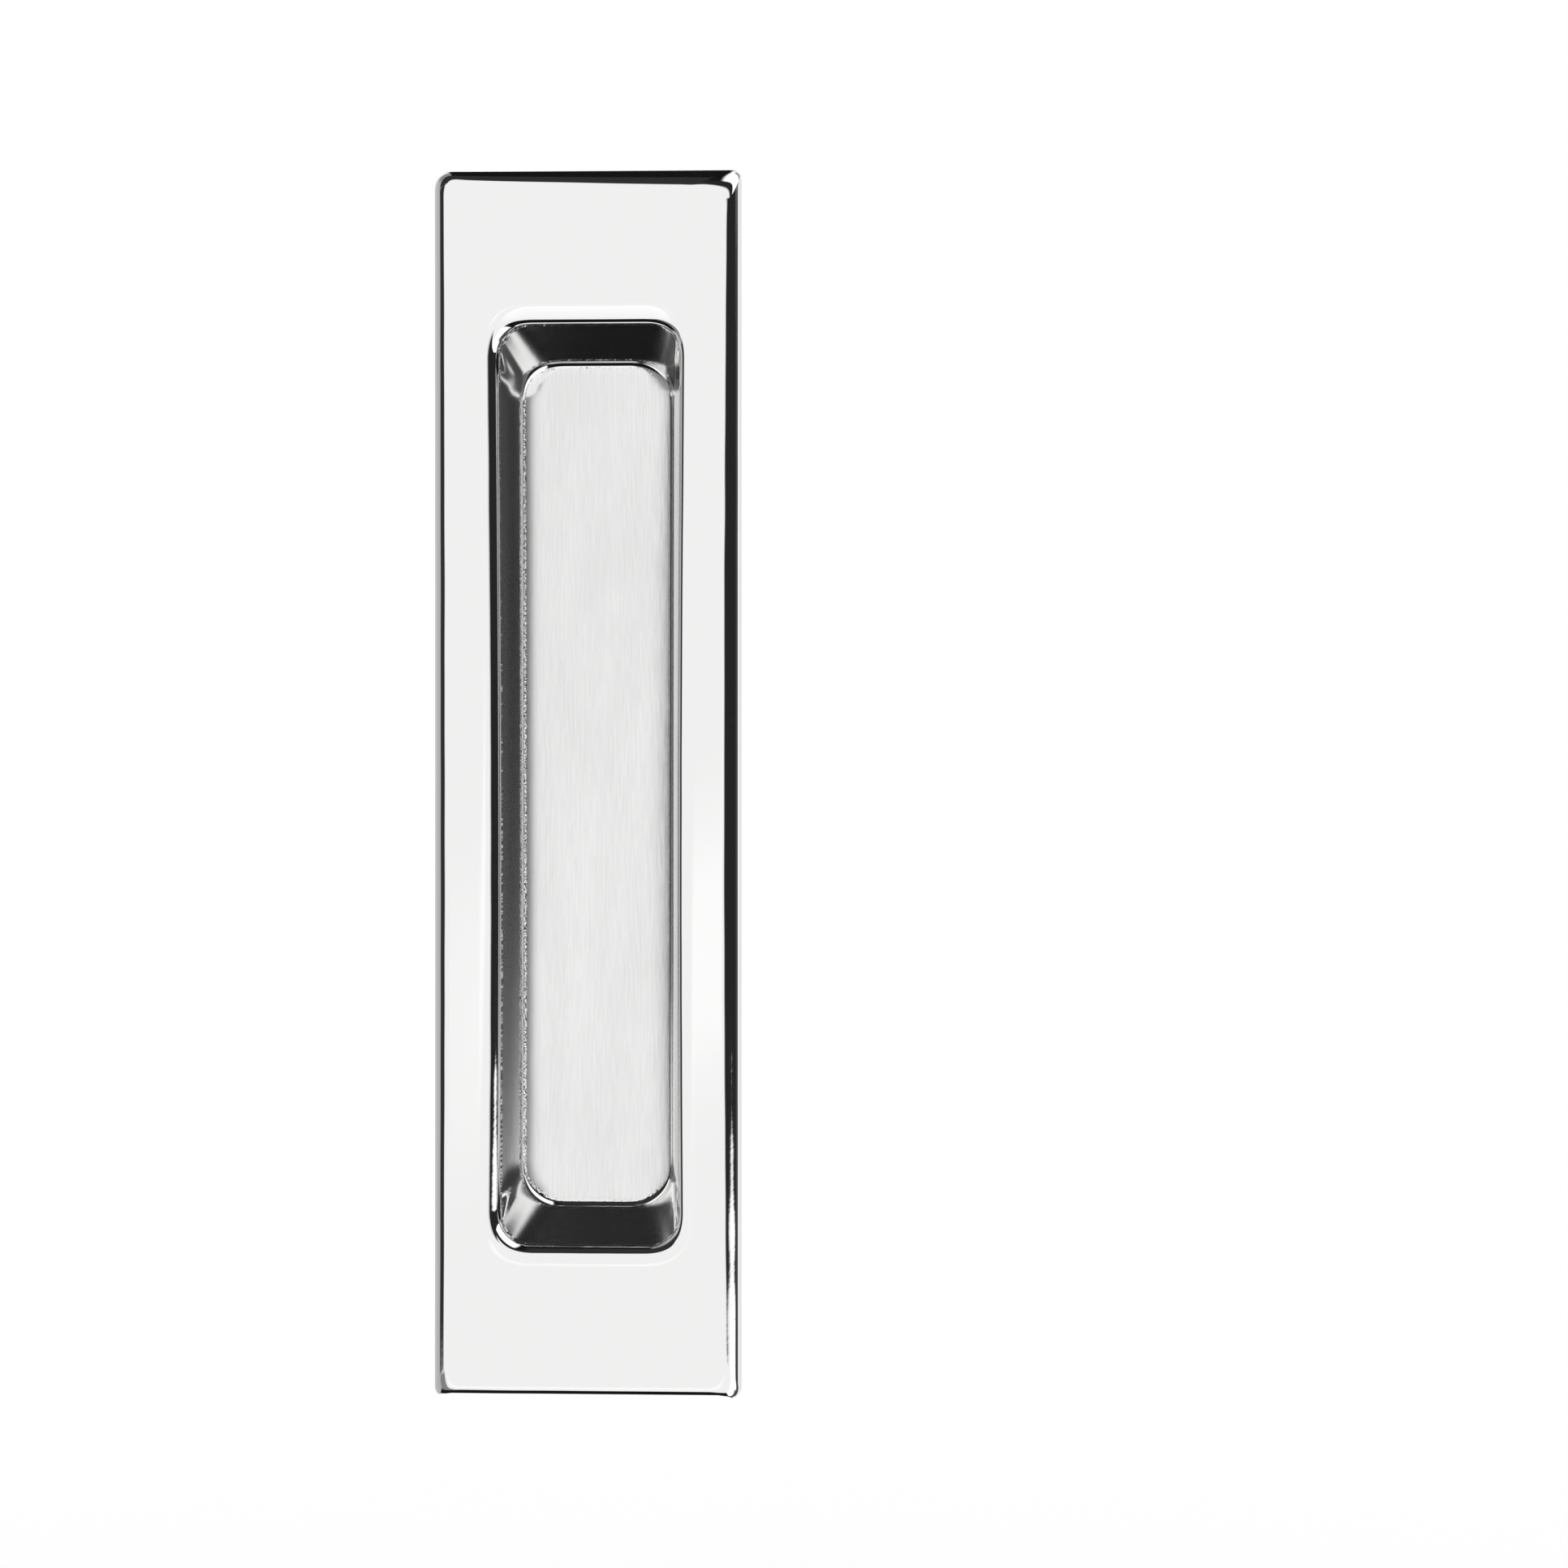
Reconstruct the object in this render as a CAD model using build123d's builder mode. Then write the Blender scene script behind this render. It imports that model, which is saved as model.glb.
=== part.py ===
from build123d import *
from math import cos, radians, tan
import os

# Flush pull for a sliding door. A cover pressed from sheet metal clips over a moulded base plate,
# and two countersunk screws hold the base plate on the door, out of sight under the cover.
# The door's face is the plane y = 0. The door is on the +Y side and the room on the -Y side.
# +X is to the right seen from the room, +Z is up, and the origin is in the middle of the mouth
# of the pocket that is cut in the door. Lengths are in millimetres and angles in degrees.

# Cover: the visible plate and its skirt
cover_width = 38.5
cover_height = 153.0
cover_stand_off = 3.0  # how far the front face stands off the door
sheet = 0.8  # thickness of the sheet
edge_bend_inside = 1.1  # inside radius of the bend from the front face to the skirt
corner_extra = 0.2  # how much rounder a corner is in plan than the bend beside it

# Recess: the hollow for the fingers, measured at the sharp corners before they are rounded
mouth_width = 23.2
mouth_height = 116.2
mouth_corner_radius = 3.4
recess_depth = 10.5
side_draft = 10.0
end_draft = 27.5
floor_corner_radius = 4.2
rim_bend_inside = 0.7  # inside radius of the bend from the front face to the recess wall
floor_bend_inside = 0.5  # inside radius of the bend from the recess wall to the floor

# Base plate: the moulded piece under the cover
base_gap = 0.1  # between the base plate's front and the cover's back
base_clearance = 0.2  # between the base plate's edge and the skirt
window_clearance = 0.3  # between the base plate's window and the bend of the recess
collar_wall = 1.2
collar_depth = 3.0
collar_lead_in = 0.4
grip_rib_width = 2.0
side_grip_ribs = 5
side_grip_rib_span = 128.0  # from the middle of the first rib to the middle of the last
end_grip_rib_spacing = 18.0

# Screws: countersunk, with a cross recess and a gimlet point
screw_length = 16.0
screw_radius = 1.5
screw_neck_relief = 0.25  # how much thinner the neck is than the shank
screw_head_radius = 2.8
screw_head_land = 0.15  # straight edge of the head above its cone
screw_tip_length = 3.6
screw_tip_radius = 0.12
screw_hole_clearance = 0.25
countersink_margin = 0.3  # how much wider the countersink is than the head
seat_gap = 0.02  # between the cone of the head and the cone of its seat
driver_slot_length = 2.4
driver_slot_width = 0.6
driver_slot_depth = 1.1

# Sizes that follow from the ones above
edge_radius = edge_bend_inside + sheet
rim_radius = rim_bend_inside + sheet
cover_corner_radius = edge_radius + corner_extra
inside_width = cover_width - 2 * sheet
inside_height = cover_height - 2 * sheet
inside_corner_radius = cover_corner_radius - sheet
pan_depth = cover_stand_off - sheet
base_thickness = pan_depth - base_gap
base_width = inside_width - 2 * base_clearance
base_height = inside_height - 2 * base_clearance
screw_neck_radius = screw_radius - screw_neck_relief
screw_hole_radius = screw_radius + screw_hole_clearance
countersink_radius = screw_head_radius + countersink_margin

FRONT = Plane.XZ.offset(cover_stand_off)
SHEET_BACK = Plane.XZ.offset(pan_depth)
BASE_FRONT = Plane.XZ.offset(base_thickness)
DOOR = Plane.XZ


def recess_outline(depth, grow=0.0):
    """Width, height and corner radius of the recess at a depth behind the front face.

    Both drafts make it smaller with depth. grow is the thickness that is added square to its walls.
    """
    share = depth / recess_depth
    width = mouth_width - 2 * depth * tan(radians(side_draft)) + 2 * grow / cos(radians(side_draft))
    height = mouth_height - 2 * depth * tan(radians(end_draft)) + 2 * grow / cos(radians(end_draft))
    radius = mouth_corner_radius + share * (floor_corner_radius - mouth_corner_radius) + grow
    return width, height, radius


tub_width, tub_height, tub_radius = recess_outline(sheet, grow=sheet)
window_margin = rim_bend_inside + window_clearance
window_width = tub_width + 2 * window_margin
window_height = tub_height + 2 * window_margin
window_radius = tub_radius + window_margin
collar_width = window_width + 2 * collar_wall
collar_height = window_height + 2 * collar_wall
collar_radius = window_radius + collar_wall

# Each screw is midway between the collar and the end of the base plate
screw_spacing = (collar_height + base_height) / 2

os.makedirs("parts", exist_ok=True)

# Cover: a shallow pan, open towards the door, with the recess pressed into its middle
with BuildPart() as cover:
    with BuildSketch(DOOR):
        RectangleRounded(cover_width, cover_height, cover_corner_radius)
    extrude(amount=cover_stand_off)
    front_face = cover.faces().sort_by(Axis.Y)[0]
    fillet(front_face.edges(), radius=edge_radius)

    with BuildSketch(DOOR):
        RectangleRounded(inside_width, inside_height, inside_corner_radius)
    extrude(amount=pan_depth, mode=Mode.SUBTRACT)
    pan_face = cover.faces().filter_by(Axis.Y).group_by(Axis.Y)[1].sort_by(SortBy.AREA)[-1]
    fillet(pan_face.edges(), radius=edge_bend_inside)

    # The outside of the tub, from the back of the sheet to the back of the floor
    with BuildSketch(SHEET_BACK):
        RectangleRounded(*recess_outline(sheet, grow=sheet))
    with BuildSketch(FRONT.offset(-recess_depth - sheet)):
        RectangleRounded(*recess_outline(recess_depth + sheet, grow=sheet))
    loft(ruled=True)

    # The inside of the tub, from the front face to the floor
    with BuildSketch(FRONT):
        RectangleRounded(*recess_outline(0))
    with BuildSketch(FRONT.offset(-recess_depth)):
        RectangleRounded(*recess_outline(recess_depth))
    loft(ruled=True, mode=Mode.SUBTRACT)

    # The four bends of the tub: rim and floor, each on the front and on the back of the sheet
    level_faces = cover.faces().filter_by(Axis.Y).group_by(Axis.Y)
    front_of_sheet = level_faces[0][0]
    back_of_sheet = level_faces[1][0]
    fillet(front_of_sheet.inner_wires()[0].edges(), radius=rim_radius)
    fillet(back_of_sheet.inner_wires()[0].edges(), radius=rim_bend_inside)
    recess_floor = cover.faces().filter_by(Axis.Y).group_by(Axis.Y)[-2][0]
    fillet(recess_floor.edges(), radius=floor_bend_inside)
    tub_back = cover.faces().filter_by(Axis.Y).group_by(Axis.Y)[-1][0]
    fillet(tub_back.edges(), radius=floor_bend_inside + sheet)
cover.part.label = "cover"
export_step(cover.part, "parts/cover.step")

# Base plate: a frame round the tub, with grip ribs for the skirt and a collar for the pocket
with BuildPart() as base_plate:
    with BuildSketch(DOOR):
        RectangleRounded(base_width, base_height, inside_corner_radius)
    extrude(amount=base_thickness)
    front_edges = base_plate.faces().sort_by(Axis.Y)[0].edges()
    chamfer(front_edges, length=edge_bend_inside)

    # Each bar is as long as the skirt is wide inside, so that its two ends are grip ribs
    with BuildSketch(DOOR):
        with GridLocations(0, side_grip_rib_span / (side_grip_ribs - 1), 1, side_grip_ribs):
            Rectangle(inside_width, grip_rib_width)
        with GridLocations(end_grip_rib_spacing, 0, 2, 1):
            Rectangle(grip_rib_width, inside_height)
    extrude(amount=pan_depth - edge_bend_inside)

    with BuildSketch(DOOR):
        RectangleRounded(collar_width, collar_height, collar_radius)
    extrude(amount=-collar_depth)
    chamfer(base_plate.faces().sort_by(Axis.Y)[-1].edges(), length=collar_lead_in)

    with BuildSketch(BASE_FRONT):
        RectangleRounded(window_width, window_height, window_radius)
    extrude(amount=-base_thickness - collar_depth, mode=Mode.SUBTRACT)

    with Locations(BASE_FRONT):
        with GridLocations(0, screw_spacing, 1, 2):
            CounterSinkHole(screw_hole_radius, countersink_radius, counter_sink_angle=90)
base_plate.part.label = "base_plate"
export_step(base_plate.part, "parts/base_plate.step")

# Screws: each is turned about its own axis, which runs along Y, and the driver recess is cut last
head_top = -base_thickness + countersink_margin - screw_head_land - seat_gap
cone_top = head_top + screw_head_land
neck_top = cone_top + (screw_head_radius - screw_neck_radius)
screw_end = head_top + screw_length
tip_start = screw_end - screw_tip_length

for name, height in (("upper_screw", screw_spacing / 2), ("lower_screw", -screw_spacing / 2)):
    with BuildPart() as screw:
        with BuildSketch(Plane.XY.offset(height)):
            with BuildLine():
                Polyline(
                    (0, head_top),
                    (screw_head_radius, head_top),
                    (screw_head_radius, cone_top),
                    (screw_neck_radius, neck_top),
                    (screw_neck_radius, 0),
                    (screw_radius, 0),
                    (screw_radius, tip_start),
                    (screw_tip_radius, screw_end),
                    (0, screw_end),
                    close=True,
                )
            make_face()
        revolve(axis=Axis((0, 0, height), (0, 1, 0)))
        with BuildSketch(Plane.XZ.offset(-head_top)):
            with Locations((0, height)):
                Rectangle(driver_slot_length, driver_slot_width)
                Rectangle(driver_slot_width, driver_slot_length)
        extrude(amount=-driver_slot_depth, mode=Mode.SUBTRACT)
    screw.part.label = name
    export_step(screw.part, f"parts/{name}.step")
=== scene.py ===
# %% [markdown]
# # A flush pull for a sliding door
#
# The object is a tall plate of polished metal with a long recess for the fingers. It is pressed
# from one sheet, so the skirt, the face, the recess walls and the recess floor are one surface.
# Behind it are a moulded base plate and two wood screws.
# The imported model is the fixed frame. Everything here is in metres, and +Z is up. The face of the
# door is the plane y = 0, and the room is on the -Y side.

import math

import bmesh
import bpy
import numpy as np
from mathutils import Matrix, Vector


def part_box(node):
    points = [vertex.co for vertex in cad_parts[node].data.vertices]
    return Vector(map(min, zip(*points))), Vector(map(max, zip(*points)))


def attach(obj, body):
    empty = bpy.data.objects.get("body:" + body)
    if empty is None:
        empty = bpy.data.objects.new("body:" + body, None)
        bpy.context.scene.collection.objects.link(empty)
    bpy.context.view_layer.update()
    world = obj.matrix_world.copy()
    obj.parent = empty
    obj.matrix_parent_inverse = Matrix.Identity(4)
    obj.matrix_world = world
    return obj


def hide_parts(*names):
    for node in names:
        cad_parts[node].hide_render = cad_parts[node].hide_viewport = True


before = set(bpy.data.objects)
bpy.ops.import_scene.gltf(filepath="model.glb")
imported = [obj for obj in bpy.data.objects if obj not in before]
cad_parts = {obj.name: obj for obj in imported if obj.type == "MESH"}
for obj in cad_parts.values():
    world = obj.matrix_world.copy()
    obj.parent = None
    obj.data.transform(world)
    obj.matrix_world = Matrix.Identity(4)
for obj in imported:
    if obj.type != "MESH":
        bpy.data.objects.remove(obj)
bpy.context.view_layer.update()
mm = 0.001

# %% [markdown]
# ## Sizes
#
# The outside of the cover comes from its box in the frame, so it can't drift away from the model.
# The bends and the recess are named here. A hand-finished pressing isn't the same all round, so the
# bends have a size for each side, and the corners have their own. Those are plain numbers in mm or
# degrees, and get their unit where they are blended. Depths count from the front face.

# %% Sizes of the plate
cover_low, cover_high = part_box("cover")
half_width = cover_high.x
half_height = cover_high.z
stand_off = -cover_low.y
sheet = 0.8 * mm
recess_depth = cover_high.y - cover_low.y - sheet

outline_corner = {"top_right": 1.5, "top_left": 2.7, "bottom_left": 1.5, "bottom_right": 1.5}
face_corner = {"top_right": 5.0, "top_left": 1.9, "bottom_left": 2.6, "bottom_right": 3.4}
right_bend, right_bend_swell = 1.84 * mm, 0.4 * mm
left_bend, left_bend_swell = 1.86 * mm, 0.2 * mm
top_bend_left, top_bend_right = 1.3 * mm, 2.45 * mm
bottom_bend = 1.25 * mm

# %% Sizes of the recess
mouth_half_width = 11.565 * mm
mouth_half_height = 57.75 * mm
mouth_shift = [0.325 * mm, -0.15 * mm]
mouth_corner = 4.6 * mm
floor_half_width = 9.5 * mm
floor_half_height = 53.1 * mm
floor_shift = [0.25 * mm, 0.0]
floor_corner = 6.2 * mm
mouth_bow, floor_bow = 0.42 * mm, 0.17 * mm
bow_middle, bow_half_length = -12.0 * mm, 66.0 * mm
right_bow_share = 0.75

# Bend round the rim, and the roll, where the face sinks a little before it reaches the rim
rim_bend = {"right": 0.88, "left": 1.58, "top": 1.16, "bottom": 1.55}
rim_corner_extra = {"top_right": 0.3, "top_left": 0.8, "bottom_left": 0.5, "bottom_right": 0.3}
roll_width = 1.7 * mm
roll_slope = math.radians(9.0)
roll_power = {"right": 2.0, "left": 2.0, "top": 0.25, "bottom": 1.5}

# Bend at the foot of the walls, and the dish, where the floor rises towards its edge
floor_bend = {"right": 0.5, "left": 0.3, "top": 1.2, "bottom": 1.2}
floor_bend_corner_extra = 1.0
dish_width = {"right": 3.3, "left": 2.4, "top": 0.8, "bottom": 0.8}
right_dish_swell = 2.0
dish_slope = {"right": 16.0, "left": 14.0, "top": 5.0, "bottom": 5.0}
dish_corner_extra = 0.2
dish_corner_slope = {"top_right": 7.0, "top_left": 17.0, "bottom_left": 2.0, "bottom_right": 2.0}

# How rough the line is where the floor was struck against its die
bead_strength = {"right": 0.05, "left": 1.0, "top": 0.8, "bottom": 0.5}
print("recess depth in mm", round(recess_depth / mm, 2))

# %% [markdown]
# ## One loop of stations
#
# Every line that runs round the cover is a rounded rectangle: the foot of the skirt, the rim of the
# recess, the edge of its floor. So one loop of stations serves them all. The corners aren't quarter
# circles. On a circle the turn starts at once, and a mirror shows that as a hard line. Here the turn
# starts slowly and is quickest in the middle, as in sheet that was drawn over a worn die.

# %% The loop
corner_steps, side_steps, end_steps = 28, 96, 30


def soft_corner(steps):
    """Points and normals of a corner from (1, 0) to (0, 1) whose turn eases in and out.

    The angle of the normal is 90 degrees times (3 s^2 - 2 s^3), where s is the share of the corner's
    length. The points are the running sum of the direction at a right angle to the normal.
    """
    finer = 40
    s = np.linspace(0, 1, finer * steps + 1)
    angle = np.pi / 2 * (3 * s**2 - 2 * s**3)
    direction = np.stack([-np.sin(angle), np.cos(angle)], axis=1)
    middles = (direction[1:] + direction[:-1]) / 2
    travelled = np.concatenate([[[0.0, 0.0]], np.cumsum(middles, axis=0)])
    points = np.array([1.0, 0.0]) + travelled / travelled[-1, 1]
    normals = np.stack([np.cos(angle), np.sin(angle)], axis=1)
    return points[:-1:finer], normals[:-1:finer]


def loop_stations():
    """Share of the way to the corner centre, corner point and outward normal of each station.

    The loop runs up the right side, over the top and down the left side, with each quarter turn
    a corner. On a straight run the normal stays and the share goes evenly from corner to corner.
    """
    shares, corner_points, normals = [], [], []
    corners = [(1, -1), (1, 1), (-1, 1), (-1, -1), (1, -1)]
    unit_points, unit_normals = soft_corner(corner_steps)
    for quarter, steps in enumerate((side_steps, end_steps, side_steps, end_steps)):
        angle = quarter * np.pi / 2
        turn = np.array([[math.cos(angle), math.sin(angle)], [-math.sin(angle), math.cos(angle)]])
        part = np.linspace(0, 1, steps, endpoint=False)[:, None]
        start, end = np.array(corners[quarter]), np.array(corners[quarter + 1])
        shares += [start * (1 - part) + end * part, np.tile(end, (corner_steps, 1))]
        corner_points += [np.tile(turn[0], (steps, 1)), unit_points @ turn]
        normals += [np.tile(turn[0], (steps, 1)), unit_normals @ turn]
    return np.concatenate(shares), np.concatenate(corner_points), np.concatenate(normals)


share, corner_point, normal = loop_stations()
stations = len(share)
print("stations in the loop", stations)


# %% Rounded rectangles
def rounded(half_x, half_z, corner):
    """Points (x, z) of a rounded rectangle: corner centre plus corner size times corner point."""
    corner = np.broadcast_to(corner, (stations,))[:, None]
    return share * (np.array([half_x, half_z]) - corner) + corner * corner_point


def by_corner(values):
    """Smooth values round the loop, through four numbers given for the corners.

    Between two corners the value goes from one to the other as (1 - cos) / 2 of the way.
    """
    x, z = share[:, 0], share[:, 1]
    weight = {
        "top_right": (1 + x) * (1 + z) / 4,
        "top_left": (1 - x) * (1 + z) / 4,
        "bottom_left": (1 - x) * (1 - z) / 4,
        "bottom_right": (1 + x) * (1 - z) / 4,
    }
    return sum(values[name] * (1 - np.cos(np.pi * w)) / 2 for name, w in weight.items())


side_weight = {
    "right": np.clip(normal[:, 0], 0, 1) ** 2,
    "left": np.clip(-normal[:, 0], 0, 1) ** 2,
    "top": np.clip(normal[:, 1], 0, 1) ** 2,
    "bottom": np.clip(-normal[:, 1], 0, 1) ** 2,
}
in_corner = 4 * normal[:, 0] ** 2 * normal[:, 1] ** 2


def by_side(values):
    """Values given for the four sides, blended round each corner by the square of the normal."""
    return sum(values[name] * weight for name, weight in side_weight.items())


def wander(seed, amplitude, waves):
    """A slow random drift round the loop: a sum of a few sines of random phase, by arc length."""
    draw = np.random.default_rng(seed)
    line = rounded(half_width, half_height, 2 * mm)
    step = np.linalg.norm(np.roll(line, -1, axis=0) - line, axis=1)
    along = np.concatenate([[0.0], np.cumsum(step)[:-1]]) / step.sum()
    counts = np.arange(1, waves + 1)
    phases = draw.uniform(0, 2 * np.pi, waves)
    heights = draw.normal(0, 1, waves) / np.sqrt(counts)
    drift = (heights * np.sin(2 * np.pi * along[:, None] * counts + phases)).sum(axis=1)
    return amplitude * drift / np.abs(drift).max()


# %% [markdown]
# ## The profile of the cover
#
# The sheet's outside is a profile carried round the loop. From the foot of the skirt it goes up the
# skirt, round the edge bend, across the face, round the rim bend, down the recess wall, round the
# floor bend and across the floor. It could be a lofted curve or a stack of bevels, but then the
# bends couldn't change from side to side. So each row of the profile is worked out for the whole
# loop at once. A row holds its points, the direction in which the sheet's outside faces, so that
# the back of the sheet is the same row moved in by the thickness, and where its finish differs.

# %% Rows of the outside
rows = []
finishes = ("wall", "tool_line", "bead", "polished_bend")


def add_row(plan, depth, facing_out, facing_front, **finish):
    """Keeps one row: its plan points, its depth behind the face and where the sheet faces there.

    facing_out counts along the station's normal and facing_front counts towards the room. A finish
    is a number from 0 to 1 that says how much of that mark the row has.
    """
    depth = np.broadcast_to(depth, (stations,))
    facing_out = np.broadcast_to(facing_out, (stations,))
    facing_front = np.broadcast_to(facing_front, (stations,))
    points = np.stack([plan[:, 0], depth - stand_off, plan[:, 1]], axis=1)
    facing = np.stack([normal[:, 0] * facing_out, -facing_front, normal[:, 1] * facing_out], axis=1)
    marks = {name: np.broadcast_to(finish.get(name, 0.0), (stations,)) for name in finishes}
    rows.append({"points": points, "facing": facing, **marks})


# %% Skirt and edge bend
outline_size = by_corner(outline_corner) * mm
face_size = by_corner(face_corner) * mm


def outline_inside(inset, part):
    """Plan points of the outline moved inwards, with a corner size of its own.

    The corner goes from the outline's size to the face's as part of the bend goes from 0 to 1.
    """
    inset = np.broadcast_to(inset, (stations,))[:, None]
    size = (outline_size + (face_size - outline_size) * part)[:, None]
    return share * (np.array([half_width, half_height]) - inset - size) + size * corner_point


towards_right = (1 + share[:, 0]) / 2
swell = np.clip(1 - share[:, 1] ** 2, 0, 1)
edge = by_side({
    "right": right_bend + right_bend_swell * swell,
    "left": left_bend + left_bend_swell * swell,
    "top": top_bend_left + (top_bend_right - top_bend_left) * towards_right**0.7,
    "bottom": bottom_bend,
})
edge = edge * (1 + wander(seed=3, amplitude=0.025, waves=40))

skirt_places = (0.0, 0.5, 0.9)
edge_turns = np.radians(np.linspace(0, 90, 23))
for part in skirt_places:
    add_row(outline_inside(0.0, 0.0), stand_off + (edge - stand_off) * part, 1.0, 0.0)
for turn in edge_turns:
    inset = edge * (1 - math.cos(turn))
    plan = outline_inside(inset, inset / edge)
    add_row(plan, edge * (1 - math.sin(turn)), math.cos(turn), math.sin(turn),
            polished_bend=math.cos(turn) ** 0.5)
print("edge bend in mm, least and most", round(edge.min() / mm, 2), round(edge.max() / mm, 2))

# %% Recess: what each station's wall does
mouth = rounded(mouth_half_width, mouth_half_height, mouth_corner) + mouth_shift
slide = (rounded(floor_half_width, floor_half_height, floor_corner) + floor_shift - mouth) / recess_depth
fall = -(slide * normal).sum(axis=1)
slip = slide + fall[:, None] * normal
draft = np.arctan(fall)
print("draft of the walls in degrees, least and most", np.degrees([draft.min(), draft.max()]).round(1))


def recess_plan(out, depth):
    """Plan points at a distance outwards from the sharp mouth line and at a depth.

    Point = mouth point + distance times normal + depth times the wall's slip along the loop. The
    long sides bow in, the right one less: x shrinks by (1 - ((z - middle) / length)^2)^1.3 of the bow.
    """
    out = np.broadcast_to(out, (stations,))
    depth = np.broadcast_to(depth, (stations,))
    plan = mouth + normal * out[:, None] + slip * depth[:, None]
    bow = mouth_bow + (floor_bow - mouth_bow) * np.clip(depth / recess_depth, 0, 1)
    bulge = np.clip(1 - ((plan[:, 1] - bow_middle) / bow_half_length) ** 2, 0, 1) ** 1.3
    bulge = bulge * np.where(plan[:, 0] > 0, right_bow_share, 1.0)
    return plan * np.stack([1 - bow / mouth_half_width * bulge, np.ones(stations)], axis=1)


# %% Face, roll and rim bend
rim = (by_side(rim_bend) + by_corner(rim_corner_extra) * in_corner) * mm
rim = rim * (1 + wander(seed=5, amplitude=0.03, waves=30))
power = by_side(roll_power)
roll_drop = roll_width * math.tan(roll_slope) / (power + 1)
rim_centre_depth = roll_drop + rim * math.cos(roll_slope)
rim_centre_out = rim * np.cos(draft) - (rim_centre_depth - rim * np.sin(draft)) * np.tan(draft)
rim_start = rim_centre_out - rim * math.sin(roll_slope)

face_outer = rows[-1]["points"][:, [0, 2]]
face_inner = recess_plan(rim_start + roll_width, 0.0)
face_places = (0.02, 0.1, 0.25, 0.4, 0.55, 0.7, 0.85, 0.98)
roll_places = (0.0, 0.06, 0.15, 0.3, 0.45, 0.6, 0.75, 0.9)
rim_places = np.linspace(0, 1, 20)
for part in face_places:
    add_row(face_outer * (1 - part) + face_inner * part, 0.0, 0.0, 1.0)
for gone in roll_places:
    roll_depth = roll_drop * gone ** (power + 1)
    slope = np.arctan(math.tan(roll_slope) * gone**power)
    plan = recess_plan(rim_start + roll_width * (1 - gone), roll_depth)
    add_row(plan, roll_depth, -np.sin(slope), np.cos(slope))
for part in rim_places:
    turn = roll_slope + (np.pi / 2 - draft - roll_slope) * part
    rim_depth = rim_centre_depth - rim * np.cos(turn)
    line = max(0.0, (part - 0.8) / 0.2)
    plan = recess_plan(rim_centre_out - rim * np.sin(turn), rim_depth)
    add_row(plan, rim_depth, -np.sin(turn), np.cos(turn), tool_line=line, polished_bend=1.0 - line)
print("rim bend in mm, least and most", round(rim.min() / mm, 2), round(rim.max() / mm, 2))

# %% Sizes of the floor bend and the dish
bend = (by_side(floor_bend) + floor_bend_corner_extra * in_corner) * mm
dish = by_side(dish_width) + right_dish_swell * side_weight["right"] * swell + dish_corner_extra * in_corner
dish = dish * mm
dish_turn = np.radians(by_side(dish_slope) + by_corner(dish_corner_slope) * in_corner)
dish_rise = dish * np.tan(dish_turn) / 2
bend_centre_depth = recess_depth - dish_rise - bend * np.cos(dish_turn)
bend_centre_out = -(bend_centre_depth + bend * np.sin(draft)) * np.tan(draft) - bend * np.cos(draft)
bead_here = by_side(bead_strength)
wall_end = bend_centre_depth + bend * np.sin(draft)
print("rise of the dish in mm, at most", round(dish_rise.max() / mm, 2))

# %% Wall, floor bend and dish
wall_places = (0.015, 0.05, 0.15, 0.3, 0.45, 0.6, 0.75, 0.9, 0.96, 0.99)
bend_places = np.linspace(0, 1, 11)
dish_places = (0.93, 0.85, 0.7, 0.55, 0.4, 0.25, 0.12, 0.0)
for part in wall_places:
    wall_depth = rim_depth + (wall_end - rim_depth) * part
    line = 0.7 if part in (wall_places[0], wall_places[-1]) else 0.0
    add_row(recess_plan(-fall * wall_depth, wall_depth), wall_depth, -np.cos(draft), np.sin(draft),
            wall=1.0, tool_line=line)
for part in bend_places:
    turn = (np.pi / 2 - draft) + (dish_turn - np.pi / 2 + draft) * part
    bend_depth = bend_centre_depth + bend * np.cos(turn)
    bend_out = bend_centre_out + bend * np.sin(turn)
    add_row(recess_plan(bend_out, bend_depth), bend_depth, -np.sin(turn), np.cos(turn), wall=1 - part,
            tool_line=max(0.0, 1 - part / 0.2), bead=max(0.0, (part - 0.8) / 0.2) * bead_here)
first_floor_row = len(rows) - 1
for left in dish_places:
    dish_depth = recess_depth - dish_rise * left**2
    slope = np.arctan(np.tan(dish_turn) * left)
    plan = recess_plan(bend_out - dish * (1 - left), dish_depth)
    bead = 0.6 * bead_here if left == dish_places[0] else 0.0
    add_row(plan, dish_depth, -np.sin(slope), np.cos(slope), bead=bead)

# %% Floor, drawn in to a line down its middle
floor_edge = recess_plan(bend_out - dish, recess_depth)
spine_reach = floor_edge[:, 1].max() - floor_edge[:, 0].max()
spine = np.stack([np.zeros(stations), share[:, 1] * spine_reach], axis=1)
floor_places = (0.01, 0.05, 0.15, 0.3, 0.5, 0.75, 1.0)
for part in floor_places:
    add_row(floor_edge * (1 - part) + spine * part, recess_depth, 0.0, 1.0)
print("rows in the profile", len(rows))

# %% [markdown]
# ## From rows to a closed sheet
#
# The back of the sheet is the same grid moved in by the sheet's thickness. The two grids are joined
# at the foot of the skirt, and each closes on the line down the middle of the floor, where doubled
# points are merged. Then the sheet is closed, and its volume shows which way its faces point.
# A Solidify modifier would also give it a back, but it can't keep the fold on the floor's line.


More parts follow.
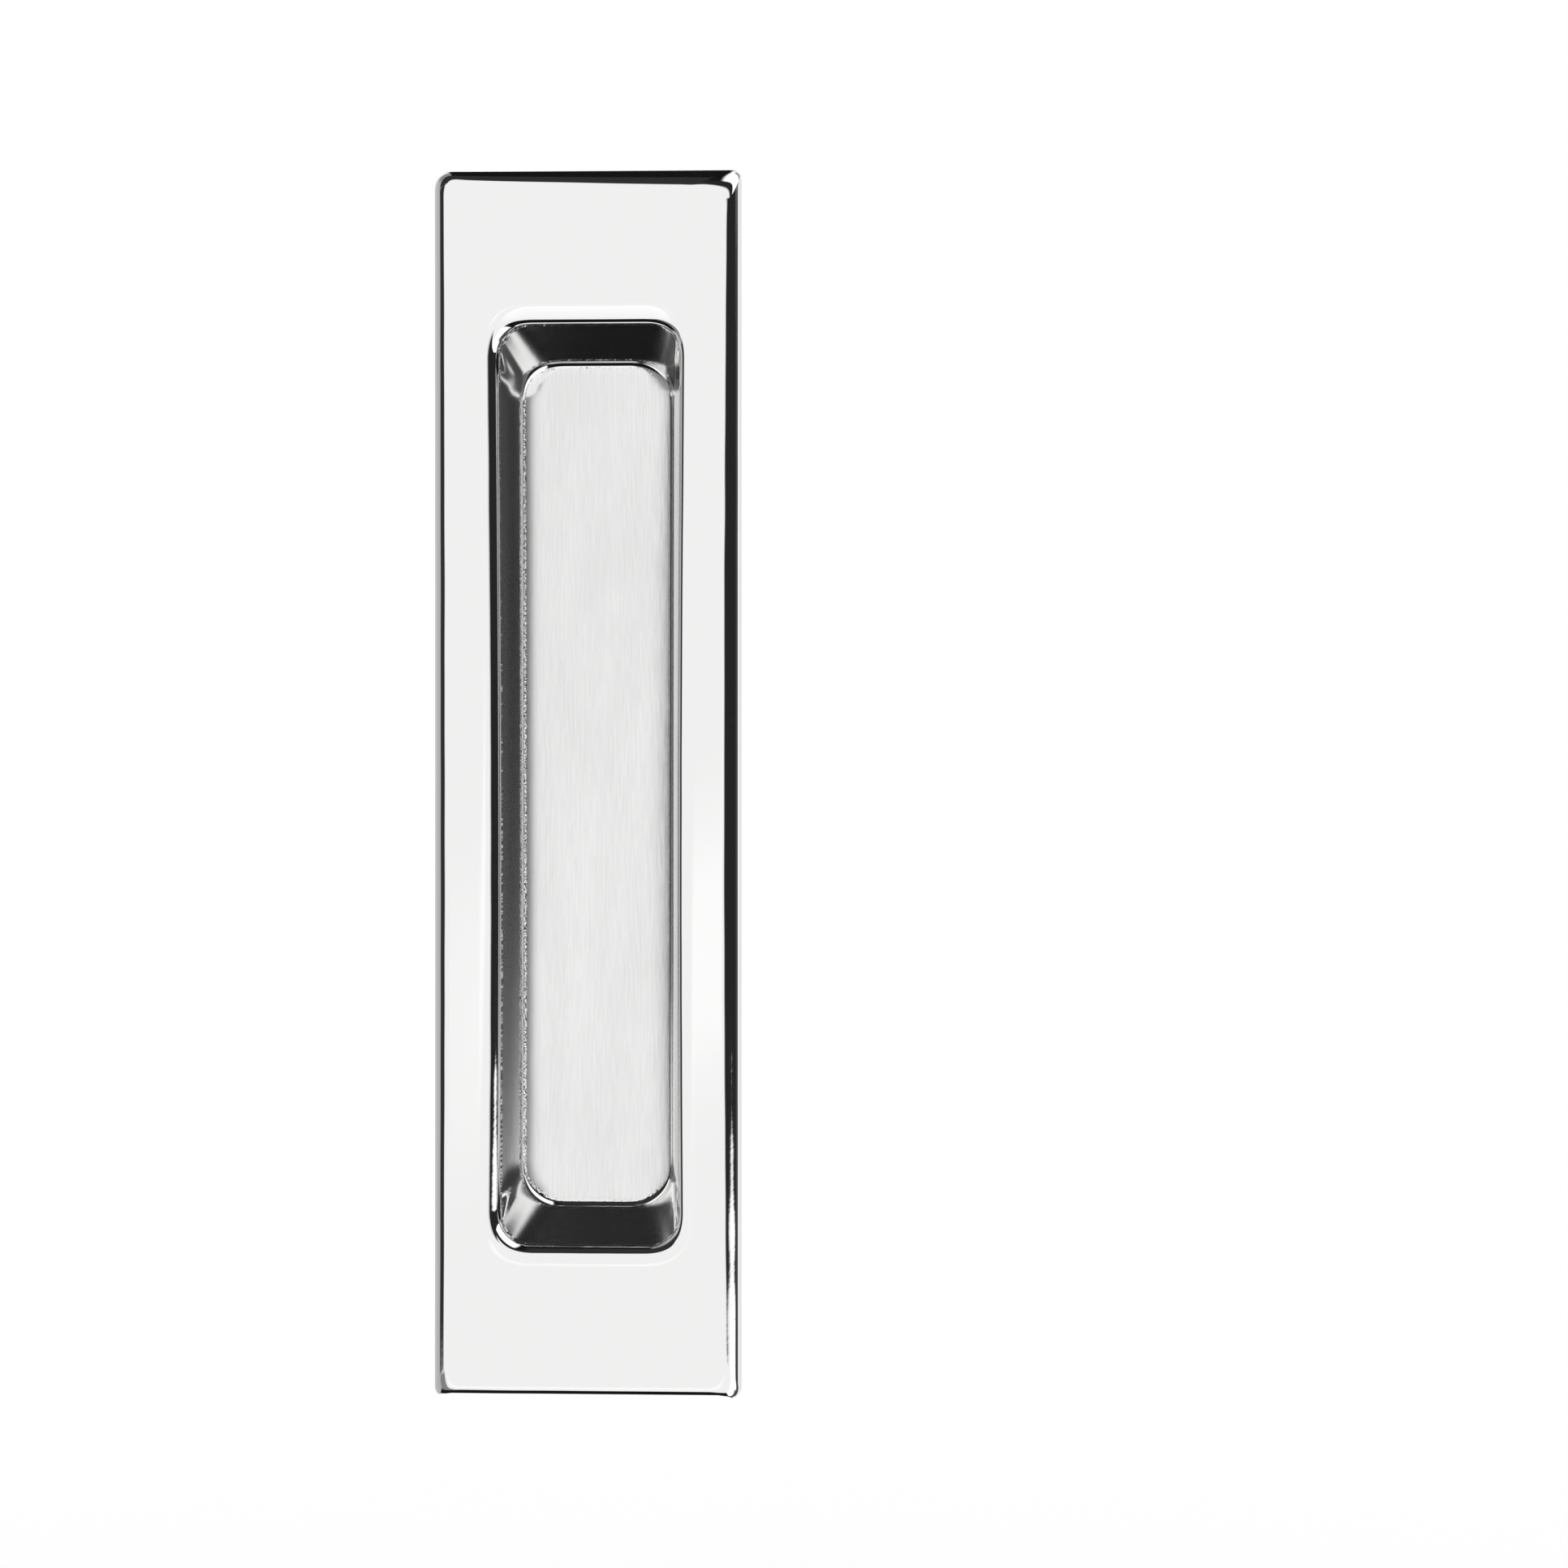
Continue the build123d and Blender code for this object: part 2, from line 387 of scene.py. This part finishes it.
# %% Grid faces
def grid_faces(row_count, column_count, first=0):
    """Four-sided faces of a grid of rows that each close on themselves, as one array."""
    row = np.arange(row_count - 1)[:, None] * column_count
    column = np.arange(column_count)[None, :]
    following = (column + 1) % column_count
    corners = [row + column, row + following, row + column_count + following, row + column_count + column]
    cells = (row_count - 1, column_count)
    return first + np.stack([np.broadcast_to(c, cells) for c in corners], axis=-1).reshape(-1, 4)


def closed_piece(name, points, faces, values=None, material_of_face=None, merge=1e-8):
    """A mesh object from arrays, with doubled points merged, faces outwards and smooth shading.

    values is a number for each point under each name, and is kept in the mesh for the finish.
    """
    mesh = bpy.data.meshes.new(name)
    mesh.from_pydata(points.reshape(-1, 3).tolist(), [], faces.tolist())
    if material_of_face is not None:
        mesh.polygons.foreach_set("material_index", material_of_face)
    for key, numbers in (values or {}).items():
        attribute = mesh.attributes.new(key, "FLOAT", "POINT")
        attribute.data.foreach_set("value", numbers.astype(np.float32).ravel())
    shape = bmesh.new()
    shape.from_mesh(mesh)
    bmesh.ops.remove_doubles(shape, verts=shape.verts, dist=merge)
    bmesh.ops.dissolve_degenerate(shape, dist=merge, edges=shape.edges)
    volume = shape.calc_volume(signed=True)
    if volume < 0:
        bmesh.ops.reverse_faces(shape, faces=shape.faces)
    open_edges = sum(1 for e in shape.edges if not e.is_manifold)
    shape.to_mesh(mesh)
    shape.free()
    mesh.polygons.foreach_set("use_smooth", np.ones(len(mesh.polygons), bool))
    mesh.set_sharp_from_angle(angle=math.radians(50))
    piece = bpy.data.objects.new(name, mesh)
    bpy.context.scene.collection.objects.link(piece)
    print(name, "faces", len(mesh.polygons), "open edges", open_edges, "cm3", round(abs(volume) * 1e6, 3))
    return piece


# %% The cover
outside = np.stack([r["points"] for r in rows])
inside = outside - sheet * np.stack([r["facing"] for r in rows])
inside[-1] = inside[-1] * [0, 1, 1]
grid_size = len(rows) * stations
foot_now = np.arange(stations)
foot_next = (foot_now + 1) % stations
finish_values = {}
for finish_name in finishes:
    one_side = np.stack([r[finish_name] for r in rows])
    finish_values[finish_name] = np.stack([one_side, 0 * one_side])
finish_values["back"] = np.stack([0 * one_side, 0 * one_side + 1])
cover_faces = np.concatenate([
    grid_faces(len(rows), stations),
    grid_faces(len(rows), stations, first=grid_size)[:, ::-1],
    np.stack([foot_next, foot_now, foot_now + grid_size, foot_next + grid_size], axis=1),
])

# The floor's faces get the second material
face_number = np.arange(len(cover_faces))
on_floor = (face_number >= first_floor_row * stations) & (face_number < (len(rows) - 1) * stations)
cover_points = np.stack([outside, inside])
cover = closed_piece("cover_sheet", cover_points, cover_faces, finish_values, on_floor.astype(np.int32))
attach(cover, "root")
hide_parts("cover")

# %% [markdown]
# ## Wood screws
#
# Each screw is turned from wire, its head is upset into a cone with a cross for the driver, and its
# thread is rolled. A thread could be a swept triangle, but then it has to be joined to the shank.
# Here the whole screw is one surface: rows of points round the axis, whose radius rises to a crest
# where the row and the angle fall on the helix. The cross is a dent in the rows of the head.

# %% Screw sizes
head_radius = 2.8 * mm
head_land = 0.15 * mm
neck_radius = 1.22 * mm
root_radius, crest_radius = 1.05 * mm, 1.5 * mm
screw_length = 16.0 * mm
thread_start, tip_length = 5.0 * mm, 3.6 * mm
pitch = 1.35 * mm
cross_length, cross_width, cross_depth = 1.3 * mm, 0.36 * mm, 1.1 * mm
cross_lean = 0.16 * mm
around_screw = 96

# Distance along the axis and radius, from the edge of the head down its cone to the neck
head_profile = np.array([
    [0.04 * mm, head_radius - 0.04 * mm],
    [head_land, head_radius],
    [0.3 * mm, 2.66 * mm],
    [1.0 * mm, 1.96 * mm],
    [1.6 * mm, 1.36 * mm],
    [1.85 * mm, neck_radius],
    [2.4 * mm, neck_radius],
])


def cross_dent(x, z):
    """Depth of the driver's cross: full inside either arm, with walls that lean."""
    arm_a = np.minimum(cross_length - np.abs(x), cross_width - np.abs(z))
    arm_b = np.minimum(cross_length - np.abs(z), cross_width - np.abs(x))
    lean = np.clip((np.maximum(arm_a, arm_b) + cross_lean / 2) / cross_lean, 0, 1)
    narrowing = 1 - 0.45 * np.clip(np.hypot(x, z) / cross_length, 0, 1) ** 2
    return cross_depth * narrowing * lean * lean * (3 - 2 * lean)


def screw_piece(name, node):
    """One screw as rows round its axis: head top with its cross, cone, neck, thread and point.

    Radius in the thread = root + (crest - root) times a ridge that is full where the distance along
    the axis less the turn, counted in pitches, is a whole number. The ridge fades at both ends.
    """
    low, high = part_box(node)
    top, middle_z = low.y, (low.z + high.z) / 2
    turn = np.linspace(0, 2 * np.pi, around_screw, endpoint=False)[None, :]
    ring = np.linspace(0, 1, 34)[:, None] * (head_radius - 0.12 * mm)
    head_x, head_z = ring * np.cos(turn), ring * np.sin(turn)
    head_y = cross_dent(head_x, head_z)
    shank = np.linspace(2.6 * mm, screw_length, 190)[:, None]
    ridge = np.abs((shank / pitch - turn / (2 * np.pi)) % 1 - 0.5) * 2
    ridge = np.clip((ridge - 0.42) / 0.58, 0, 1) ** 1.2
    start = np.clip((shank - thread_start) / (1.2 * mm), 0, 1)
    to_tip = np.clip((screw_length - shank) / tip_length, 0, 1) ** 0.75
    core = neck_radius + (root_radius - neck_radius) * np.clip((shank - 4.0 * mm) / mm, 0, 1)
    radius = (core + (crest_radius - core) * ridge * start) * to_tip
    radius[-1] = 0.0
    rest_y = np.concatenate([head_profile[:, :1], shank])
    rest_r = np.concatenate([np.tile(head_profile[:, 1:], (1, around_screw)), radius])
    rest_x, rest_z = rest_r * np.cos(turn), rest_r * np.sin(turn)
    x = np.concatenate([head_x, rest_x])
    z = np.concatenate([head_z, rest_z]) + middle_z
    y = np.concatenate([head_y, np.broadcast_to(rest_y, rest_x.shape)]) + top
    piece = closed_piece(name, np.stack([x, y, z], axis=-1), grid_faces(len(x), around_screw))
    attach(piece, "root")
    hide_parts(node)
    return piece


screws = [screw_piece("upper_wood_screw", "upper_screw"), screw_piece("lower_wood_screw", "lower_screw")]

# %% [markdown]
# ## Finishes
#
# Metal has no colour pattern of its own to speak of. What makes it look real is how its surface
# leans and how rough it is. So the finishes work mostly on the normal and the roughness, driven by
# noise that is stretched along the way the surface was worked.


# %% Helpers for materials
def add(tree, kind, inputs=None, **settings):
    """A node of one kind, with its settings and inputs. An input is a value or another's output."""
    made = tree.nodes.new(kind)
    for key, value in settings.items():
        setattr(made, key, value)
    for key, value in (inputs or {}).items():
        socket = made.inputs[key]
        if isinstance(value, bpy.types.NodeSocket):
            tree.links.new(value, socket)
        else:
            socket.default_value = value
    return made


def empty_material(name):
    """A material with an empty node tree and its output."""
    material = bpy.data.materials.new(name)
    material.use_nodes = True
    material.node_tree.nodes.clear()
    return material, material.node_tree, material.node_tree.nodes.new("ShaderNodeOutputMaterial")


def maths(tree, operation, first, second=None):
    """One arithmetic node's output."""
    inputs = {0: first} if second is None else {0: first, 1: second}
    return add(tree, "ShaderNodeMath", inputs, operation=operation).outputs[0]


def total(tree, *terms):
    """The sum of (value, factor) pairs."""
    result = 0.0
    for value, factor in terms:
        result = maths(tree, "ADD", result, maths(tree, "MULTIPLY", value, factor))
    return result


def ramp(tree, value, low, high, to_low=0.0, to_high=1.0):
    """A smooth step from to_low to to_high as value goes from low to high."""
    return add(tree, "ShaderNodeMapRange", {"Value": value, "From Min": low, "From Max": high,
               "To Min": to_low, "To Max": to_high}, interpolation_type="SMOOTHSTEP").outputs["Result"]


def grain(tree, place, per_metre, detail=2.0, turned=0.0):
    """Noise from -0.5 to 0.5 with its own number of grains per metre along each axis.

    The pattern is first turned about the Y axis by an angle in degrees, then stretched.
    """
    if turned:
        rotation = (0, math.radians(turned), 0)
        place = add(tree, "ShaderNodeMapping", {"Vector": place, "Rotation": rotation}).outputs[0]
    stretched = add(tree, "ShaderNodeMapping", {"Vector": place, "Scale": per_metre}).outputs[0]
    noise = add(tree, "ShaderNodeTexNoise", {"Vector": stretched, "Scale": 1.0, "Detail": detail})
    return maths(tree, "SUBTRACT", noise.outputs["Fac"], 0.5)


def tilted(tree, tilts):
    """The surface normal leaned along X, Y or Z: the normal plus each tilt times its axis."""
    sideways = add(tree, "ShaderNodeCombineXYZ", tilts).outputs[0]
    normal_here = add(tree, "ShaderNodeNewGeometry").outputs["Normal"]
    leaned = add(tree, "ShaderNodeVectorMath", {0: normal_here, 1: sideways}, operation="ADD").outputs[0]
    return add(tree, "ShaderNodeVectorMath", {0: leaned}, operation="NORMALIZE").outputs[0]


# %% [markdown]
# ### Polished plating and the satin floor
#
# The face and the walls are polished to a mirror. Where a bend ends, the buffing wheel doesn't
# reach, and a thin line of slanting tool marks stays. The back of the sheet is plain drawn metal.
# The floor keeps the upright lines of an abrasive belt. They spread a reflection sideways only, so
# the floor looks pale and satin. The lines are finer than a pixel, and lines in the normal would
# flicker there. So the floor is a material of its own, whose roughness is stretched across the lines.


# %% What both platings share
bead_lean = 1.6


def near_white(tree, shade):
    """A very slightly warm grey of a given shade."""
    return add(tree, "ShaderNodeCombineColor", {0: shade, 1: maths(tree, "MULTIPLY", shade, 0.998),
               2: maths(tree, "MULTIPLY", shade, 0.995)}).outputs[0]


def kept(tree, name):
    """A value that the mesh keeps for the finish."""
    return add(tree, "ShaderNodeAttribute", attribute_name=name).outputs["Fac"]


def bead_tilts(tree, place):
    """Lean along X and Z of the pimpled line where the floor was struck against its die."""
    bead = kept(tree, "bead")
    speck_x = maths(tree, "MULTIPLY", grain(tree, place, (5200.0, 2000.0, 4100.0)), bead)
    speck_z = maths(tree, "MULTIPLY", grain(tree, place, (4700.0, 2500.0, 5600.0)), bead)
    return speck_x, speck_z


# %% Polished plating
def polished_plating():
    """Mirror-bright plating, with tool marks and a dull back where the mesh says so."""
    material, tree, output = empty_material("polished_plating")
    place = add(tree, "ShaderNodeTexCoord").outputs["Object"]
    wall, tool_line, back = kept(tree, "wall"), kept(tree, "tool_line"), kept(tree, "back")
    tool_x = maths(tree, "MULTIPLY", grain(tree, place, (1100.0, 300.0, 5200.0), turned=40.0), tool_line)
    tool_z = maths(tree, "MULTIPLY", grain(tree, place, (1000.0, 300.0, 4700.0), turned=38.0), tool_line)
    speck_x, speck_z = bead_tilts(tree, place)
    buff_lines = grain(tree, place, (900.0, 200.0, 6000.0), turned=42.0)
    buff = maths(tree, "MULTIPLY", buff_lines, kept(tree, "polished_bend"))
    drawn = maths(tree, "MULTIPLY", grain(tree, place, (700.0, 700.0, 9000.0), detail=4.0), back)
    scratch = ramp(tree, grain(tree, place, (160.0, 160.0, 15000.0), turned=57.0), 0.2, 0.24)
    lean_x = total(tree, (tool_x, 1.4), (speck_x, bead_lean), (buff, 0.012), (drawn, 0.25))
    lean_z = total(tree, (tool_z, 1.4), (speck_z, bead_lean), (buff, 0.012), (drawn, 0.25), (scratch, 0.02))
    shade = maths(tree, "SUBTRACT", 0.91, maths(tree, "MULTIPLY", back, 0.2))
    roughness = total(tree, (1.0, 0.03), (wall, 0.045), (back, 0.25), (tool_line, 0.1), (scratch, 0.06))
    shader = add(tree, "ShaderNodeBsdfPrincipled", {"Base Color": near_white(tree, shade), "Metallic": 1.0,
                 "Roughness": roughness, "Normal": tilted(tree, {"X": lean_x, "Z": lean_z})})
    tree.links.new(shader.outputs[0], output.inputs["Surface"])
    return material


# %% Satin floor
def satin_floor():
    """Belt-finished plating: roughness stretched along X, and faint upright streaks and clouds."""
    material, tree, output = empty_material("satin_floor")
    place = add(tree, "ShaderNodeTexCoord").outputs["Object"]
    speck_x, speck_z = bead_tilts(tree, place)
    lines = grain(tree, place, (3400.0, 1.0, 240.0), detail=2.0)
    clouds = grain(tree, place, (260.0, 1.0, 55.0), detail=3.0)
    shade = total(tree, (1.0, 0.87), (lines, 0.16), (clouds, 0.14))
    lean_x = total(tree, (lines, 0.05), (speck_x, bead_lean))
    lean_z = maths(tree, "MULTIPLY", speck_z, bead_lean)
    across_lines = add(tree, "ShaderNodeTangent", direction_type="RADIAL", axis="Z").outputs[0]
    shader = add(tree, "ShaderNodeBsdfPrincipled", {"Base Color": near_white(tree, shade), "Metallic": 1.0,
                 "Roughness": 0.18, "Anisotropic": 0.85, "Normal": tilted(tree, {"X": lean_x, "Z": lean_z}),
                 "Tangent": across_lines})
    tree.links.new(shader.outputs[0], output.inputs["Surface"])
    return material


cover.data.materials.append(polished_plating())
cover.data.materials.append(satin_floor())
print("finishes of the cover", [material.name for material in cover.data.materials])

# %% [markdown]
# ### Zinc on the screws and moulded plastic on the base plate
#
# The screws are barrel-plated. Zinc comes out bright but a little milky, with fine turning lines
# round the shank. The base plate is black plastic from a spark-eroded mould, which leaves a fine
# even grain. Its shape in the frame is right, so it keeps that mesh and gets only the finish.


# %% Zinc
def bright_zinc():
    """Bluish bright zinc with a milky bloom and fine lines across the axis."""
    material, tree, output = empty_material("bright_zinc")
    place = add(tree, "ShaderNodeTexCoord").outputs["Object"]
    bloom = grain(tree, place, (900.0, 900.0, 900.0), detail=3.0)
    lines = grain(tree, place, (150.0, 16000.0, 150.0))
    tint = ramp(tree, bloom, -0.25, 0.25)
    bluish, milky = (0.60, 0.62, 0.66, 1), (0.72, 0.73, 0.72, 1)
    colour = add(tree, "ShaderNodeMix", {"Factor": tint, 6: bluish, 7: milky}, data_type="RGBA").outputs[2]
    roughness = total(tree, (1.0, 0.26), (bloom, 0.3))
    lean_y = maths(tree, "MULTIPLY", lines, 0.35)
    shader = add(tree, "ShaderNodeBsdfPrincipled", {"Base Color": colour, "Metallic": 1.0,
                 "Roughness": roughness, "Normal": tilted(tree, {"Y": lean_y})})
    tree.links.new(shader.outputs[0], output.inputs["Surface"])
    return material


zinc = bright_zinc()
for screw in screws:
    screw.data.materials.append(zinc)


# %% Moulded plastic
def moulded_plastic():
    """Black plastic with an eroded grain, faint flow lines and slightly glossier patches."""
    material, tree, output = empty_material("moulded_plastic")
    place = add(tree, "ShaderNodeTexCoord").outputs["Object"]
    pits = grain(tree, place, (7000.0, 7000.0, 7000.0), detail=3.0)
    flow = grain(tree, place, (120.0, 120.0, 30.0), detail=4.0)
    shade = total(tree, (1.0, 0.032), (flow, 0.016), (pits, 0.01))
    blue = maths(tree, "MULTIPLY", shade, 1.06)
    colour = add(tree, "ShaderNodeCombineColor", {0: shade, 1: shade, 2: blue}).outputs[0]
    bump = add(tree, "ShaderNodeBump", {"Strength": 0.35, "Distance": 0.00005, "Height": pits}).outputs[0]
    roughness = total(tree, (1.0, 0.5), (flow, 0.3), (pits, 0.2))
    shader = add(tree, "ShaderNodeBsdfPrincipled",
                 {"Base Color": colour, "Roughness": roughness, "Normal": bump})
    tree.links.new(shader.outputs[0], output.inputs["Surface"])
    return material


base_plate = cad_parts["base_plate"]
base_plate.data.materials.clear()
base_plate.data.materials.append(moulded_plastic())
print("finish of the base plate", base_plate.data.materials[0].name)

# %% [markdown]
# ## The studio
#
# A polished plate shows only what stands round it. So the studio is what the plate is meant to
# reflect: a large pale panel in front, dark cards round it, and white or grey walls beyond. The
# cards could be real planes round the object, but then other views would look into their backs. So
# they are painted on the world, and only the metal sees them. The eye sees white, and so does
# everything matt, at a strength of 1, so that a colour looks as it is written.

# %% Camera
photo_pixels = 1932
plate_pixels = 1514
plate_middle_pixel = 721.3
sensor = 36.0
view_distance = 0.8
view_right = math.radians(7.0)

frame_width = 2 * half_height * photo_pixels / plate_pixels
beside_middle = (photo_pixels / 2 - plate_middle_pixel) / photo_pixels * frame_width
turn_aside = math.asin(beside_middle / view_distance)
camera_data = bpy.data.cameras.new("camera")
camera = bpy.data.objects.new("camera", camera_data)
bpy.context.scene.collection.objects.link(camera)
bpy.context.scene.camera = camera
towards_camera = Vector((math.sin(view_right), -math.cos(view_right), 0))
camera.location = towards_camera * view_distance - Vector((0, stand_off, 0))
heading = view_right - turn_aside
camera.rotation_euler = (math.pi / 2, 0, heading)
camera_data.sensor_width = sensor
camera_data.lens = sensor * view_distance * math.cos(turn_aside) / frame_width
camera_data.clip_start, camera_data.clip_end = 0.01, 30.0
print("lens in mm", round(camera_data.lens, 1), "heading", round(math.degrees(heading), 2))

# %% World: directions
world = bpy.data.worlds.new("studio")
bpy.context.scene.world = world
world.use_nodes = True
tree = world.node_tree
tree.nodes.clear()
direction = add(tree, "ShaderNodeTexCoord").outputs["Generated"]
east, inward, high = add(tree, "ShaderNodeSeparateXYZ", {0: direction}).outputs
ahead = maths(tree, "MULTIPLY", inward, -1.0)
across = maths(tree, "MULTIPLY", maths(tree, "ARCTAN2", east, ahead), 180 / math.pi)
upward = maths(tree, "MULTIPLY", maths(tree, "ARCTAN2", high, ahead), 180 / math.pi)
light_path = add(tree, "ShaderNodeLightPath")
twice = ramp(tree, light_path.outputs["Ray Depth"], 2.4, 2.6)


def between(value, low, high_end, soft):
    """One inside the range and nought outside it, with soft edges."""
    rise = ramp(tree, maths(tree, "SUBTRACT", value, low), -soft, soft)
    drop = ramp(tree, maths(tree, "SUBTRACT", value, high_end), -soft, soft, 1.0, 0.0)
    return maths(tree, "MULTIPLY", rise, drop)


def both(*ranges):
    """The product of its ranges."""
    product = ranges[0]
    for one in ranges[1:]:
        product = maths(tree, "MULTIPLY", product, one)
    return product


def painted(under, card, level):
    """A card of one grey level laid over what is under it."""
    return add(tree, "ShaderNodeMix", {"Factor": card, 2: under, 3: level}, data_type="FLOAT").outputs[0]


# %% World: the pale panel and the walls beyond it
straight_out, to_the_sides = 0.96, 1.14
glow = ramp(tree, inward, -0.87, -0.7, straight_out, to_the_sides)
panel = both(between(high, -0.11, 0.6, 0.012), between(across, -60.0, 9.0, 6.0))
glow = painted(glow, panel, straight_out)

# A slanting strip of light over the panel: the soft bright patch on the right half of the face
from_middle = maths(tree, "ADD", east, 0.1)
lamp_line = maths(tree, "ADD", high, total(tree, (from_middle, -0.33), (1.0, 0.022)))
lamp_ends = both(ramp(tree, east, -0.16, -0.11, 0.08, 1.0), ramp(tree, east, 0.0, -0.05))
lamp = both(between(lamp_line, -0.021, 0.015, 0.013), lamp_ends)
glow = maths(tree, "ADD", glow, maths(tree, "MULTIPLY", lamp, 0.11))

# Below the panel it is brighter again: the white strip at the foot of the face
under_panel = both(ramp(tree, high, -0.1, -0.135), ramp(tree, inward, -0.6, -0.8))
below = both(under_panel, between(across, -16.0, 1.0, 4.0))
glow = painted(glow, below, ramp(tree, high, -0.28, -0.14, 0.98, 1.09))

# The walls to the left and far to the right are grey: the outermost lines of the edges
left_wall = both(ramp(tree, east, -0.5, -0.75), ramp(tree, inward, -0.75, -0.5))
far_right = both(ramp(tree, inward, 0.5, 0.7), ramp(tree, east, 0.0, 0.1))
glow = painted(glow, left_wall, ramp(tree, inward, -0.2, 0.9, 0.47, 0.66))
glow = painted(glow, far_right, 0.82)

# %% World: the dark cards beside the plate
# On the right, with a lower edge that sinks away from its middle: the black band down the right edge
off_middle = maths(tree, "ABSOLUTE", maths(tree, "SUBTRACT", across, 60.0))
low_edge = maths(tree, "SUBTRACT", -0.048, maths(tree, "MULTIPLY", off_middle, 0.0009))
low_edge = maths(tree, "MAXIMUM", low_edge, -0.083)
right_card = both(between(across, 10.5, 92.0, 5.0), between(high, low_edge, 0.2, 0.008))
glow = painted(glow, right_card, 0.02)

# Round the corner from it: the thin line along the outside of that band
right_far = both(between(across, 86.0, 116.0, 4.0), between(high, -0.8, 0.22, 0.006))
far_level = ramp(tree, across, 88.0, 104.0, 0.02, 0.07)
high_level = ramp(tree, high, 0.05, 0.12, 0.0, 0.2)
glow = painted(glow, right_far, maths(tree, "MAXIMUM", far_level, high_level))

# On the left: the thin black line down the left edge. By way of the recess it looks pale
left_card = both(between(across, -69.0, -36.0, 3.5), between(high, -0.1, 0.75, 0.02))
glow = painted(glow, left_card, painted(0.03, twice, 0.85))

# %% World: the dark cards above and below the plate
# Above, in grey at the left and in black over the middle: the top band and the lower end wall
top_left_card = both(between(upward, 25.0, 120.0, 4.0), between(east, -0.9, -0.2, 0.05))
near_reach = ramp(tree, upward, 30.0, 52.0, 0.36, 0.18)
far_reach = ramp(tree, upward, 100.0, 150.0, 0.12, 0.02)
top_reach = maths(tree, "MINIMUM", near_reach, far_reach)
top_card = both(ramp(tree, upward, 25.0, 30.0), between(east, -0.24, top_reach, 0.04))

# Below, in two parts: the bottom line and the upper end wall
bottom_card = both(between(upward, -79.0, -35.0, 3.0), between(east, -0.8, 0.32, 0.04))
bottom_far = both(between(upward, -112.0, -72.0, 4.0), between(east, 0.2, 0.5, 0.05))

# %% World: the corner cards
# Each is part of a ring round the straight view out, at one corner of the plate. They carry the dark
# bands on from one side to the next.
upper_right = both(ramp(tree, high, 0.14, 0.18), ramp(tree, east, -0.1, 0.0))
upper_left = both(ramp(tree, high, 0.2, 0.28), ramp(tree, east, 0.0, -0.1))
lower_left = both(ramp(tree, high, -0.09, -0.14), ramp(tree, east, -0.14, -0.24))
lower_right = both(ramp(tree, high, -0.3, -0.4), ramp(tree, east, 0.3, 0.4))
far_upper_right = both(ramp(tree, high, 0.25, 0.35), ramp(tree, east, 0.2, 0.3))
upper_right_ring = both(between(ahead, 0.72, 0.895, 0.02), upper_right)
upper_left_ring = both(between(ahead, 0.3, 0.895, 0.02), upper_left)
lower_left_ring = both(between(ahead, 0.5, 0.88, 0.03), lower_left)
lower_right_ring = both(between(ahead, -0.15, 0.3, 0.05), lower_right)
outer_right_ring = both(between(ahead, -0.75, -0.25, 0.06), far_upper_right)

# %% World: lay the cards over each other
glow = painted(glow, lower_left_ring, 0.24)
glow = painted(glow, top_left_card, 0.27)
glow = painted(glow, top_card, 0.008)
glow = painted(glow, upper_right_ring, 0.02)
glow = painted(glow, upper_left_ring, 0.03)
glow = painted(glow, bottom_card, 0.008)
glow = painted(glow, bottom_far, 0.02)
glow = painted(glow, lower_right_ring, 0.08)
glow = painted(glow, outer_right_ring, 0.3)

# %% [markdown]
# The last cards are there for the walls of the recess alone, which find them by way of its floor.
# They are counted in only for light that the metal has reflected twice.

# %% World: what only the recess sees
low_on_right = both(between(high, -0.43, -0.13, 0.04), between(east, 0.38, 0.9, 0.05), twice)
low_on_left = both(between(high, -0.55, -0.14, 0.04), between(across, -80.0, -19.0, 6.0), twice)
facing_right_wall = both(between(high, -0.25, 0.25, 0.05), between(across, -40.0, -11.0, 3.0), twice)
high_wide = both(ramp(tree, upward, 22.0, 30.0), between(east, -0.6, 0.4, 0.08), twice)
glow = painted(glow, high_wide, 0.01)
glow = painted(glow, low_on_right, 0.04)
glow = painted(glow, low_on_left, 0.06)
glow = painted(glow, facing_right_wall, 0.42)

# %% World: who sees what
mirror = painted(1.0, light_path.outputs["Is Glossy Ray"], glow)
seen = painted(mirror, light_path.outputs["Is Camera Ray"], 1.0)
background = add(tree, "ShaderNodeBackground", {"Color": (1, 1, 1, 1), "Strength": seen})
tree.links.new(background.outputs[0], add(tree, "ShaderNodeOutputWorld").inputs["Surface"])
bpy.context.scene.view_settings.view_transform = "Standard"
print("nodes in the studio", len(tree.nodes))

# %% [markdown]
# ## The floor
#
# The floor is a plain white sheet below the handle. Its white is as bright as the background, so no
# line shows where it ends, and it keeps the soft shadow under the object.

# %% Floor
floor_drop, floor_half = 45 * mm, 4.0
floor_mesh = bpy.data.meshes.new("floor")
floor_z = -half_height - floor_drop
signs = ((-1, -1), (1, -1), (1, 1), (-1, 1))
floor_corners = [(x * floor_half, y * floor_half, floor_z) for x, y in signs]
floor_mesh.from_pydata(floor_corners, [], [(0, 1, 2, 3)])
floor = bpy.data.objects.new("floor", floor_mesh)
bpy.context.scene.collection.objects.link(floor)
floor.visible_glossy = False
white, white_tree, white_output = empty_material("floor_white")
matt = add(white_tree, "ShaderNodeBsdfDiffuse", {"Color": (1, 1, 1, 1)})
white_tree.links.new(matt.outputs[0], white_output.inputs["Surface"])
floor_mesh.materials.append(white)
